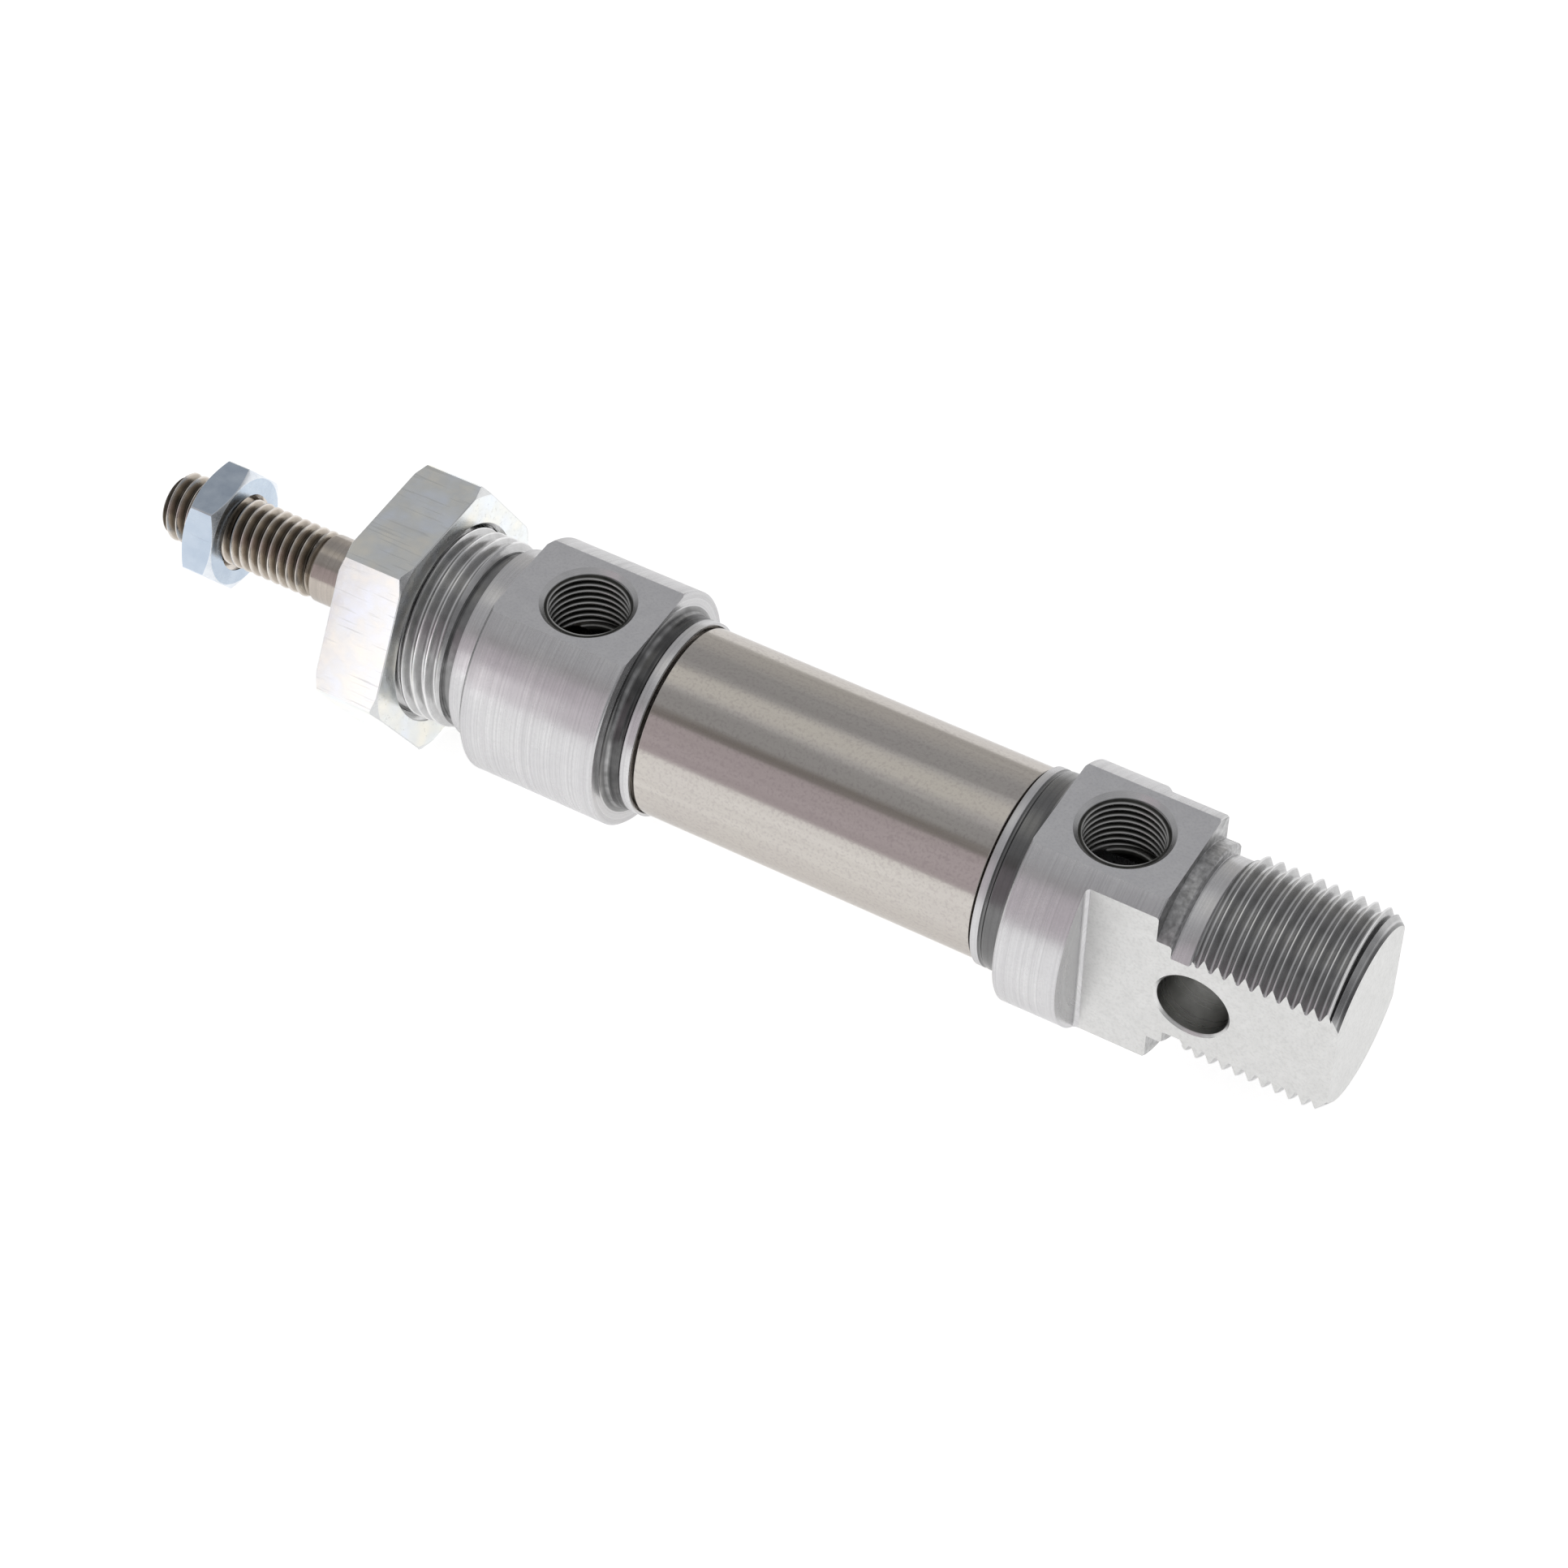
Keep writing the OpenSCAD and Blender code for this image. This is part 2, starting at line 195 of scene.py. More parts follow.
def lip_outline(start, length, bead, toward):
    """From a cap's face over its hollow root to the mouth of the lip that grips the barrel.

    toward is -1 where the lip points along -X and +1 where it points along +X.
    """
    lip_r = TUBE_R + 0.4
    fillet = 0.9
    roll = 0.6
    roll_depth = 0.2
    points = [(start, lip_r + fillet)]
    for k in range(1, 6):
        a = math.radians(15 * k)
        points.append((start + toward * fillet * (1 - math.cos(a)), lip_r + fillet * (1 - math.sin(a))))
    groove = length - bead - roll
    points += [(start + toward * fillet, lip_r), (start + toward * groove, lip_r),
               (start + toward * (groove + roll / 3), lip_r - roll_depth),
               (start + toward * (groove + 2 * roll / 3), lip_r - roll_depth),
               (start + toward * (length - bead), lip_r), (start + toward * length, lip_r),
               (start + toward * length, TUBE_R + SLIP)]
    return points


def spigot_outline(start, face, toward):
    """From the lip's mouth over the barrel's seat and the O-ring's groove to the chamber's face."""
    seat_depth = 1.8
    oring_cord = 1.25
    seat = start - toward * seat_depth
    groove_near = face - toward * 0.6
    groove_far = face - toward * 2.5
    spigot_r = BORE_R - SLIP
    groove_r = BORE_R - oring_cord
    return [(seat, TUBE_R + SLIP), (seat, spigot_r), (groove_far, spigot_r), (groove_far, groove_r),
            (groove_near, groove_r), (groove_near, spigot_r), (face - toward * BEVEL, spigot_r),
            (face, spigot_r - BEVEL), (face, POCKET_R)]


# ---------------------------------------------------------------- meshes

def place_on_axis(x, r, turn):
    """A point at a place along X and a distance from it, turned right-handed about +X from +Z."""
    a = 2 * math.pi * turn
    return (x * MM, -r * math.sin(a) * MM, r * math.cos(a) * MM)


def new_mesh(name, verts, faces):
    """A mesh from points and faces, with coincident points welded and faces turned outwards."""
    mesh = bpy.data.meshes.new(name)
    bm = bmesh.new()
    made = [bm.verts.new(v) for v in verts]
    for face in faces:
        bm.faces.new([made[i] for i in face])
    bmesh.ops.remove_doubles(bm, verts=bm.verts, dist=1e-6)
    bmesh.ops.dissolve_degenerate(bm, edges=bm.edges, dist=1e-7)
    bmesh.ops.recalc_face_normals(bm, faces=bm.faces)
    if bm.calc_volume(signed=True) < 0:
        bmesh.ops.reverse_faces(bm, faces=bm.faces)
    bm.to_mesh(mesh)
    bm.free()
    return mesh


def add_object(name, mesh):
    obj = bpy.data.objects.new(name, mesh)
    bpy.context.scene.collection.objects.link(obj)
    return obj


def lathe(name, outline, turns, closed=False):
    """A solid of revolution whose outline may vary with the turn.

    outline(turn) gives its points, always as many. A closed outline makes a ring, and an open one starts and
    ends on the axis.
    """
    verts = []
    for turn in turns:
        verts += [place_on_axis(x, r, turn) for x, r in outline(turn)]
    rows = len(verts) // len(turns)
    faces = []
    for j in range(len(turns) - 1):
        for i in range(rows if closed else rows - 1):
            a, b = j * rows + i, j * rows + (i + 1) % rows
            faces.append((a, b, b + rows, a + rows))
    return add_object(name, new_mesh(name, verts, faces))


def even_turns(count):
    return [k / count for k in range(count + 1)]


def prism(name, outline, low, high):
    """A straight prism along Z from an outline of (x, y) points, in mm."""
    count = len(outline)
    verts = [(x * MM, y * MM, z * MM) for z in (low, high) for x, y in outline]
    faces = [tuple(range(count))[::-1], tuple(range(count, 2 * count))]
    faces += [(i, (i + 1) % count, (i + 1) % count + count, i + count) for i in range(count)]
    return add_object(name, new_mesh(name, verts, faces))


def apply_modifiers(obj):
    graph = bpy.context.evaluated_depsgraph_get()
    mesh = bpy.data.meshes.new_from_object(obj.evaluated_get(graph))
    obj.modifiers.clear()
    obj.data = mesh


def cut(obj, *cutters):
    """Takes the cutters away from obj, one after another, and removes them."""
    for cutter in cutters:
        step = obj.modifiers.new("cut", "BOOLEAN")
        step.operation = "DIFFERENCE"
        step.solver = "MANIFOLD"
        step.object = cutter
    bpy.context.view_layer.update()
    apply_modifiers(obj)
    for cutter in cutters:
        bpy.data.objects.remove(cutter)


def shade(obj, angle=24):
    """Smooth shading with edges kept sharp above an angle.

    Large faces lead the normals, so they stay flat beside a small arc.
    """
    obj.data.polygons.foreach_set("use_smooth", [True] * len(obj.data.polygons))
    obj.data.set_sharp_from_angle(angle=math.radians(angle))
    step = obj.modifiers.new("normals", "WEIGHTED_NORMAL")
    step.keep_sharp = True
    bpy.context.view_layer.update()
    apply_modifiers(obj)


def finish_piece(obj, body, replaced, materials, pick=None):
    """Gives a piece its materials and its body.

    pick(centre, normal) says which of the materials a face takes, by its place in the list.
    """
    obj.data.materials.clear()
    for material in materials:
        obj.data.materials.append(material)
    if pick:
        for face in obj.data.polygons:
            face.material_index = pick(face.center / MM, face.normal)
    shade(obj)
    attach(obj, body)
    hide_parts(replaced)


# ---------------------------------------------------------------- materials

class Nodes:
    """Short names for the nodes that the materials are made of."""

    def __init__(self, name):
        self.material = bpy.data.materials.new(name)
        self.material.use_nodes = True
        self.tree = self.material.node_tree
        self.shader = self.tree.nodes["Principled BSDF"]
        self.place = self.add("ShaderNodeTexCoord").outputs["Object"]

    def add(self, kind, **settings):
        node = self.tree.nodes.new(kind)
        for key, value in settings.items():
            setattr(node, key, value)
        return node

    def link(self, source, target):
        if isinstance(source, (int, float)):
            target.default_value = source
        elif isinstance(source, (tuple, list)):
            target.default_value = (*source, 1.0) if len(source) == 3 else source
        else:
            self.tree.links.new(source, target)

    def math(self, operation, a, b=0.0):
        node = self.add("ShaderNodeMath", operation=operation)
        self.link(a, node.inputs[0])
        self.link(b, node.inputs[1])
        return node.outputs[0]

    def scaled(self, x, y, z):
        """Object coordinates, stretched: each value is in cycles per metre."""
        node = self.add("ShaderNodeMapping")
        node.inputs["Scale"].default_value = (x, y, z)
        self.tree.links.new(self.place, node.inputs["Vector"])
        return node.outputs["Vector"]

    def noise(self, vector, detail=3.0, scale=1.0, rough=0.5):
        node = self.add("ShaderNodeTexNoise")
        self.link(vector, node.inputs["Vector"])
        node.inputs["Scale"].default_value = scale
        node.inputs["Detail"].default_value = detail
        node.inputs["Roughness"].default_value = rough
        return node.outputs["Fac"]

    def round_axis(self, axis=0, centre_x=0.0):
        """Place along an axis and distance from it, in metres. The axis is X, Y or Z through x = centre_x."""
        parts = self.add("ShaderNodeSeparateXYZ")
        self.tree.links.new(self.place, parts.inputs[0])
        values = [parts.outputs[0], parts.outputs[1], parts.outputs[2]]
        if centre_x:
            values[0] = self.math("SUBTRACT", values[0], centre_x * MM)
        along = values.pop(axis)
        squares = [self.math("MULTIPLY", value, value) for value in values]
        return along, self.math("SQRT", self.math("ADD", *squares))

    def rings(self, per_metre, detail=3.0, axis=0, centre_x=0.0):
        """Noise that changes along the axis and across it but not round it, as a lathe tool leaves it."""
        along, across = self.round_axis(axis, centre_x)
        along = self.math("ADD", along, self.math("MULTIPLY", across, 1.31))
        node = self.add("ShaderNodeTexNoise", noise_dimensions="1D")
        self.link(self.math("MULTIPLY", along, per_metre), node.inputs["W"])
        node.inputs["Scale"].default_value = 1.0
        node.inputs["Detail"].default_value = detail
        return node.outputs["Fac"]

    def between(self, value, low, high, start=0.3, end=0.7):
        """Maps start..end to low..high, without going past either."""
        node = self.add("ShaderNodeMapRange")
        self.link(value, node.inputs["Value"])
        node.inputs["From Min"].default_value = start
        node.inputs["From Max"].default_value = end
        node.inputs["To Min"].default_value = low
        node.inputs["To Max"].default_value = high
        return node.outputs["Result"]

    def blend(self, factor, first, second):
        node = self.add("ShaderNodeMix", data_type="RGBA")
        self.link(factor, node.inputs["Factor"])
        self.link(first, node.inputs["A"])
        self.link(second, node.inputs["B"])
        return node.outputs["Result"]

    def bump(self, height, depth, strength=1.0, below=None):
        node = self.add("ShaderNodeBump")
        node.inputs["Strength"].default_value = strength
        node.inputs["Distance"].default_value = depth * MM
        self.link(height, node.inputs["Height"])
        if below:
            self.link(below, node.inputs["Normal"])
        return node.outputs["Normal"]

    def done(self, colour, roughness, normal=None, metallic=1.0, **constants):
        self.link(colour, self.shader.inputs["Base Color"])
        self.link(roughness, self.shader.inputs["Roughness"])
        self.shader.inputs["Metallic"].default_value = metallic
        if normal:
            self.link(normal, self.shader.inputs["Normal"])
        for name, value in constants.items():
            self.shader.inputs[name.replace("_", " ")].default_value = value
        return self.material


def turned_metal(name, dark, light, roughness, marks=4200, depth=0.0008, patches=90, edge=0.9, metallic=1.0):
    """Metal from a lathe: fine rings with painted shade in them, slow patches of a second tint, a faint grain
    and slightly uneven gloss.

    edge is how much it reflects at a glancing angle.
    """
    ring_shade_seen = 0.4
    n = Nodes(name)
    lines = n.rings(marks, 1.0)
    bands = n.rings(marks / 5, 2.0)
    cloud = n.noise(n.scaled(patches, patches, patches), 4.0)
    grain = n.noise(n.scaled(2600, 5200, 5200), 2.0)
    colour = n.blend(n.between(cloud, 0.0, 1.0), dark, light)
    # The rings are real lathe marks; their darker tone is painted shade.
    colour = n.blend(n.between(lines, 0.0, ring_shade_seen, 0.4, 0.7), colour, [c * 0.72 for c in dark])
    colour = n.blend(n.between(bands, 0.0, ring_shade_seen, 0.45, 0.7), colour, [c * 0.86 for c in dark])
    colour = n.blend(n.between(grain, 0.0, 0.3, 0.45, 0.7), colour, [c * 0.8 for c in dark])
    gloss = n.math("ADD", n.between(cloud, roughness - 0.03, roughness + 0.04), n.between(bands, -0.03, 0.04))
    return n.done(colour, gloss, n.bump(lines, depth), metallic, Specular_Tint=(edge, edge, edge, 1.0))


def depth_shaded_metal(name, stops, roughness, axis=0, centre_x=0.0, marks=5000, depth=0.0008, edge=0.9):
    """Cut metal whose tone goes with the distance from its axis: painted shade in its hollows, painted
    highlights on its crests.

    stops are (distance in mm, dark tint, light tint), from the axis outwards.
    """
    n = Nodes(name)
    _, across = n.round_axis(axis, centre_x)
    lines = n.rings(marks, axis=axis, centre_x=centre_x)
    cloud = n.noise(n.scaled(700, 700, 700), 4.0)
    colour = None
    # Each stop paints the shade or the highlight that falls at its depth.
    for (place, dark, light), (before, _, _) in zip(stops, stops[:1] + stops):
        tint = n.blend(n.between(cloud, 0.0, 1.0), dark, light)
        if colour is None:
            colour = tint
        else:
            colour = n.blend(n.between(across, 0.0, 1.0, before * MM, place * MM), colour, tint)
    gloss = n.between(lines, roughness - 0.05, roughness + 0.06)
    return n.done(colour, gloss, n.bump(lines, depth), Specular_Tint=(edge, edge, edge, 1.0))


def milled_metal(name, dark, light, roughness, stretch=(900, 7000, 3000), depth=0.0006, patches=600):
    """A milled flat: faint straight marks, a fine grain and soft patches."""
    n = Nodes(name)
    marks = n.noise(n.scaled(*stretch), 3.0)
    grain = n.noise(n.scaled(3300, 3300, 3300), 2.0)
    cloud = n.noise(n.scaled(patches, patches, patches), 3.0)
    colour = n.blend(n.between(cloud, 0.0, 1.0), dark, light)
    colour = n.blend(n.between(grain, 0.0, 0.4, 0.45, 0.7), colour, [c * 0.8 for c in dark])
    gloss = n.between(marks, roughness - 0.05, roughness + 0.06)
    return n.done(colour, gloss, n.bump(marks, depth, 1.0, n.bump(grain, depth * 0.6)))


def drawn_steel(name):
    """The barrel: drawn stainless tube with long faint streaks and a fine pebble in its shine."""
    n = Nodes(name)
    streaks = n.noise(n.scaled(16, 900, 900), 4.0, rough=0.6)
    pebble = n.noise(n.scaled(3000, 3000, 3000), 2.0)
    cloud = n.noise(n.scaled(120, 120, 120), 4.0)
    colour = n.blend(n.between(streaks, 0.0, 1.0), (0.50, 0.473, 0.437), (0.59, 0.563, 0.523))
    colour = n.blend(n.between(cloud, 0.0, 0.5), colour, (0.535, 0.503, 0.48))
    gloss = n.math("ADD", n.between(streaks, 0.11, 0.19), n.between(pebble, -0.02, 0.03))
    colour = n.blend(n.between(pebble, 0.0, 0.5, 0.5, 0.65), colour, (0.43, 0.395, 0.38))
    normal = n.bump(pebble, 0.0014, 1.0, n.bump(streaks, 0.0016))
    return n.done(colour, gloss, normal, Specular_Tint=(0.80, 0.79, 0.78, 1.0))


def zinc_plate(name, dark, light, roughness, rainbow=0.0):
    """Bright zinc plate: soft mottling, hairline scratches and, where asked, a faint rainbow tint."""
    n = Nodes(name)
    mottle = n.noise(n.scaled(420, 420, 420), 5.0, rough=0.6)
    scratch = n.noise(n.scaled(150, 3000, 3000), 2.0)
    grain = n.noise(n.scaled(4200, 4200, 4200), 2.0)
    colour = n.blend(n.between(mottle, 0.0, 1.0), dark, light)
    if rainbow:
        hue = n.noise(n.scaled(320, 320, 320), 3.0)
        colour = n.blend(n.between(hue, 0.0, rainbow, 0.5, 0.7), colour, (0.98, 0.93, 0.80))
        colour = n.blend(n.between(hue, rainbow, 0.0, 0.3, 0.5), colour, (0.84, 0.90, 1.0))
        colour = n.blend(n.between(scratch, 0.0, 0.6, 0.60, 0.68), colour, [c * 0.8 for c in dark])
    gloss = n.math("ADD", n.between(mottle, roughness - 0.04, roughness + 0.05),
                   n.between(scratch, 0.0, 0.10, 0.62, 0.72))
    normal = n.bump(grain, 0.0006, 1.0, n.bump(scratch, 0.0010))
    return n.done(colour, gloss, normal)


def plain_metal(name, dark, light, roughness):
    """Small inner metal parts: fine rings and light patches."""
    return turned_metal(name, dark, light, roughness, marks=2600, depth=0.0010, patches=260)


def moulded(name, dark, light, roughness, pebble=0.002, metallic=0.0):
    """Rubber, plastic, sintered bronze or ferrite: a matte body with a fine pebble."""
    n = Nodes(name)
    grain = n.noise(n.scaled(2200, 2200, 2200), 3.0)
    cloud = n.noise(n.scaled(300, 300, 300), 4.0)
    colour = n.blend(n.between(cloud, 0.0, 1.0), dark, light)
    colour = n.blend(n.between(grain, 0.0, 0.3), colour, [c * 0.7 for c in dark])
    gloss = n.between(grain, roughness - 0.06, roughness + 0.08)
    return n.done(colour, gloss, n.bump(grain, pebble), metallic=metallic)


def grey_stops(stops, gain=1.0):
    """Stops for depth_shaded_metal in greys, from (distance in mm, dark level, light level) and a common gain."""
    return [(place, [dark * gain] * 3, [light * gain] * 3) for place, dark, light in stops]


CAP = turned_metal("cap_turned", (0.655, 0.65, 0.66), (0.73, 0.73, 0.73), 0.25, marks=4000, patches=200,
                   edge=0.78, metallic=0.8)
# Painted shade, mottled, for the rear cap's register and the face that looks to the tail.
CAP_FACE_SHADE = milled_metal("cap_faced", (0.28, 0.28, 0.28), (0.56, 0.56, 0.56), 0.34, patches=1400)
# Painted shade for the root of the rear cap's lip.
CAP_GROOVE_SHADE = turned_metal("cap_groove", (0.16, 0.16, 0.16), (0.24, 0.24, 0.24), 0.24, marks=6000)
CAP_FLAT = milled_metal("cap_milled", (0.66, 0.66, 0.675), (0.71, 0.71, 0.72), 0.34)
TAIL_FLAT = milled_metal("tail_milled", (0.655, 0.655, 0.645), (0.70, 0.70, 0.69), 0.42, (3000, 3000, 1200))
DEEP = M22_PITCH * THREAD_DEPTH
# M22 threads: painted shade in the undercut and on the flanks, painted highlights along the crests and the
# roots.
THREAD_SHADE_STOPS = [
    (RELIEF_R + 0.02, 0.17, 0.24),
    (STUD_R - DEEP, 0.54, 0.62),
    (STUD_R - 0.88 * DEEP, 0.36, 0.45),
    (STUD_R - 0.16 * DEEP, 0.42, 0.51),
    (STUD_R - 0.04 * DEEP, 0.64, 0.72)]
NOSE_THREAD_SHADED = depth_shaded_metal("nose_thread_cut", grey_stops(THREAD_SHADE_STOPS, 1.18), 0.22)
TAIL_THREAD_SHADED = depth_shaded_metal("tail_thread_cut", grey_stops(THREAD_SHADE_STOPS), 0.22)
# The hollow between the front cap and its lip: painted shade, with a thin painted highlight in it close to
# the lip.
FILLET_SHADE_STOPS = [
    (TUBE_R + 0.40, 0.08, 0.13),
    (TUBE_R + 0.45, 0.18, 0.40),
    (TUBE_R + 0.53, 0.16, 0.36),
    (TUBE_R + 0.66, 0.10, 0.15),
    (TUBE_R + 1.20, 0.24, 0.34)]
FRONT_FILLET_SHADED = depth_shaded_metal("front_fillet", grey_stops(FILLET_SHADE_STOPS), 0.24)
# Inside each port: painted shade in its floor and between the thread's crests, and painted highlights on the
# crests.
PORT_SHADE_STOPS = [
    (PORT_R - 0.2, (0.02, 0.02, 0.018), (0.04, 0.04, 0.036)),
    (PORT_R, (0.62, 0.62, 0.61), (0.72, 0.72, 0.70)),
    (PORT_R + 0.08, (0.50, 0.50, 0.49), (0.60, 0.60, 0.58)),
    (PORT_R + 0.22, (0.03, 0.03, 0.028), (0.06, 0.06, 0.055)),
    (G18_R - 0.14, (0.03, 0.03, 0.028), (0.06, 0.06, 0.055)),
    (G18_R - 0.04, (0.60, 0.60, 0.60), (0.70, 0.70, 0.70))]
PORT_INSIDE_SHADED = {end: depth_shaded_metal("port_tapped_" + end, PORT_SHADE_STOPS, 0.30, 2, mount_place(end + "_port"))
               for end in ("front", "rear")}
# The tail's cross hole: painted shade inside it, lighter at its broken edges.
CROSS_BORE_SHADED = depth_shaded_metal("cross_bored", [
    (CROSS_R + 0.02, (0.40, 0.40, 0.39), (0.50, 0.50, 0.49)),
    (CROSS_R + 0.10, (0.66, 0.66, 0.65), (0.74, 0.74, 0.73))], 0.30, 1, CROSS_X, marks=3000, depth=0.003)
BARREL = drawn_steel("barrel_drawn")
NOSE_ZINC = zinc_plate("zinc_bright", (0.785, 0.80, 0.785), (0.865, 0.88, 0.855), 0.20, rainbow=0.6)
ROD_ZINC = zinc_plate("zinc_blue", (0.46, 0.54, 0.64), (0.585, 0.665, 0.755), 0.20)
# The nose nut's chamfers: their darker tone is painted shade.
NOSE_RIM_SHADE = zinc_plate("zinc_rim_dull", (0.60, 0.61, 0.61), (0.70, 0.71, 0.71), 0.25)
# The rod nut's chamfers and corners: worn zinc with a painted highlight.
ROD_RIM_WEAR_AND_HIGHLIGHT = zinc_plate("zinc_rim_worn", (0.66, 0.71, 0.77), (0.88, 0.91, 0.94), 0.28)
ROD = turned_metal("rod_ground", (0.47, 0.425, 0.38), (0.55, 0.50, 0.455), 0.18, marks=7000, depth=0.0005)
M8_DEEP = M8_PITCH * THREAD_DEPTH
# The rod's thread: painted shade down the flanks into the roots, painted highlights along the crests.
ROD_THREAD_SHADED = depth_shaded_metal("rod_thread", [
    (ROD_R - M8_DEEP, (0.05, 0.043, 0.034), (0.09, 0.078, 0.064)),
    (ROD_R - 0.7 * M8_DEEP, (0.24, 0.21, 0.175), (0.34, 0.30, 0.25)),
    (ROD_R - 0.3 * M8_DEEP, (0.42, 0.37, 0.315), (0.52, 0.465, 0.405)),
    (ROD_R - 0.08 * M8_DEEP, (0.66, 0.61, 0.56), (0.78, 0.74, 0.69))], 0.22)

NODE_MATERIALS = {
    "rod_bush": moulded("bronze", (0.42, 0.29, 0.15), (0.52, 0.37, 0.20), 0.42, metallic=1.0),
    "rod_seal": moulded("seal_rubber", (0.018, 0.018, 0.02), (0.03, 0.03, 0.032), 0.55),
    "seal_retainer": plain_metal("retainer_steel", (0.50, 0.50, 0.50), (0.60, 0.60, 0.60), 0.30),
    "front_bumper": moulded("bumper_rubber", (0.03, 0.07, 0.045), (0.045, 0.10, 0.06), 0.60),
    "piston_front": turned_metal("piston_turned", (0.62, 0.62, 0.62), (0.70, 0.70, 0.70), 0.32),
    "piston_magnet": moulded("ferrite", (0.045, 0.043, 0.045), (0.07, 0.068, 0.07), 0.48, metallic=0.3),
    "guide_ring": moulded("guide_plastic", (0.66, 0.60, 0.45), (0.74, 0.69, 0.55), 0.40, pebble=0.001),
}
SAME_AS = {"snap_ring": "seal_retainer", "piston_nut": "seal_retainer", "rear_bumper": "front_bumper",
           "front_tube_oring": "rod_seal", "rear_tube_oring": "rod_seal", "piston_oring": "rod_seal",
           "front_piston_seal": "rod_seal", "rear_piston_seal": "rod_seal", "piston_rear": "piston_front"}


def dress_inner_parts():
    """The parts inside keep their CAD shape and get a detailed material."""
    for name in list(NODE_MATERIALS) + list(SAME_AS):
        mesh = frame["nodes"][name].data
        mesh.materials.clear()
        mesh.materials.append(NODE_MATERIALS[SAME_AS.get(name, name)])


# ---------------------------------------------------------------- caps

def port_cutters(name, x, low, high):
    """What is cut away for one port: the flat from low to high along X, and the tapped, countersunk hole."""
    wide = 20
    above = PORT_FLAT_Z + 3
    flat = prism(name + "_flat", [(low, -wide), (high, -wide), (high, wide), (low, wide)], PORT_FLAT_Z, above)
    sink = (PORT_MOUTH_R - PORT_R) * 0.55      # the countersink, as far down as it cuts through the thread

    def hole(turn):
        bottom = [(PORT_FLOOR_Z, 0), (PORT_FLOOR_Z, PORT_R), (PORT_THREAD_Z, PORT_R)]
        tapped = thread(PORT_THREAD_Z, PORT_FLAT_Z - sink, G18_R, G18_PITCH, turn)
        mouth = [(PORT_FLAT_Z - sink, PORT_MOUTH_R - sink), (PORT_FLAT_Z, PORT_MOUTH_R),
                 (above, PORT_MOUTH_R + above - PORT_FLAT_Z), (above, 0)]
        return bottom + [(z, max(r, PORT_R)) for z, r in tapped] + mouth

    plug = lathe(name + "_hole", hole, even_turns(144))
    plug.data.transform(Matrix.Translation((x * MM, 0, 0)) @ Matrix.Rotation(math.radians(-90), 4, "Y"))
    return flat, plug


def in_port(centre, x):
    """Whether a face is in the port at x: in its hole, its thread or its countersink."""
    across = math.hypot(centre.x - x, centre.y)
    return across < PORT_MOUTH_R + 0.02 and PORT_FLOOR_Z - 0.1 < centre.z < PORT_FLAT_Z - 0.01


def in_lip_groove(centre, start, length, bead, toward):
    """Whether a face is in the root of a lip, which takes painted shade. toward is the way that the lip
    points along X.
    """
    reach = (centre.x - start) * toward
    across = math.hypot(centre.y, centre.z)
    return 0.02 < reach < length - bead - 0.05 and TUBE_R + 0.1 < across < CAP_R - 0.12


def on_port_flat(centre, normal):
    return normal.z > 0.999 and abs(centre.z - PORT_FLAT_Z) < 0.05


def in_cross_hole(centre):
    """Whether a face is in the tail's cross hole or on its broken edges."""
    return math.hypot(centre.x - CROSS_X, centre.z) < CROSS_R + 0.4 and abs(centre.y) < TAIL_FLAT_Y - 0.005


def make_front_cap():
    """The front cap, from the threaded nose over shoulder and body to the lip, bored for bush and seal."""
    register_end = 3.0
    thread_start = 4.4
    start_height = 0.54
    tip_chamfer = 1.0
    shoulder_chamfer = 0.4
    bush_r = 6.0
    bush_rear = -3.6
    seal_r = 7.0
    seal_rear = 11.0
    ring_groove_r = 7.5
    ring_groove_rear = 16.2
    ring_groove_front = 17.2

    def limit(x):
        return min(STUD_R - tip_chamfer + (NOSE_TIP - x), RELIEF_R + start_height + (x - thread_start))

    def outline(turn):
        outside = [(NOSE_TIP, seal_r), (NOSE_TIP, STUD_R - tip_chamfer)]
        threaded = thread(thread_start, NOSE_TIP, STUD_R, M22_PITCH, turn, 0.35, limit=limit)[::-1]
        shoulder = [(thread_start, RELIEF_R), (register_end, RELIEF_R), (register_end - BEVEL, STUD_R),
                    (0, STUD_R), (0, CAP_R - shoulder_chamfer), (-shoulder_chamfer, CAP_R),
                    (-FRONT_BODY + BEVEL, CAP_R), (-FRONT_BODY, CAP_R - BEVEL)]
        inside = [(bush_rear, POCKET_R), (bush_rear, bush_r), (seal_rear, bush_r), (seal_rear, seal_r),
                  (ring_groove_rear, seal_r), (ring_groove_rear, ring_groove_r),
                  (ring_groove_front, ring_groove_r), (ring_groove_front, seal_r)]
        body = softened(shoulder + lip_outline(-FRONT_BODY, FRONT_LIP, FRONT_BEAD, -1)
                        + spigot_outline(-FRONT_BODY, FRONT_FACE, -1))
        return outside + threaded + body + inside

    cap = lathe("front_cap_turned", outline, even_turns(240), closed=True)
    port_x = mount_place("front_port")
    cut(cap, *port_cutters("front", port_x, -FRONT_BODY - 1, 1))

    def pick(centre, normal):
        if in_port(centre, port_x):
            return 3
        if on_port_flat(centre, normal):
            return 1
        # The lip's root takes painted shade and a painted highlight.
        if in_lip_groove(centre, -FRONT_BODY, FRONT_LIP, FRONT_BEAD, -1):
            return 4
        return 2 if centre.x > register_end - 0.05 else 0

    materials = [CAP, CAP_FLAT, NOSE_THREAD_SHADED, PORT_INSIDE_SHADED["front"], FRONT_FILLET_SHADED]
    finish_piece(cap, "barrel", "front_cap", materials, pick)


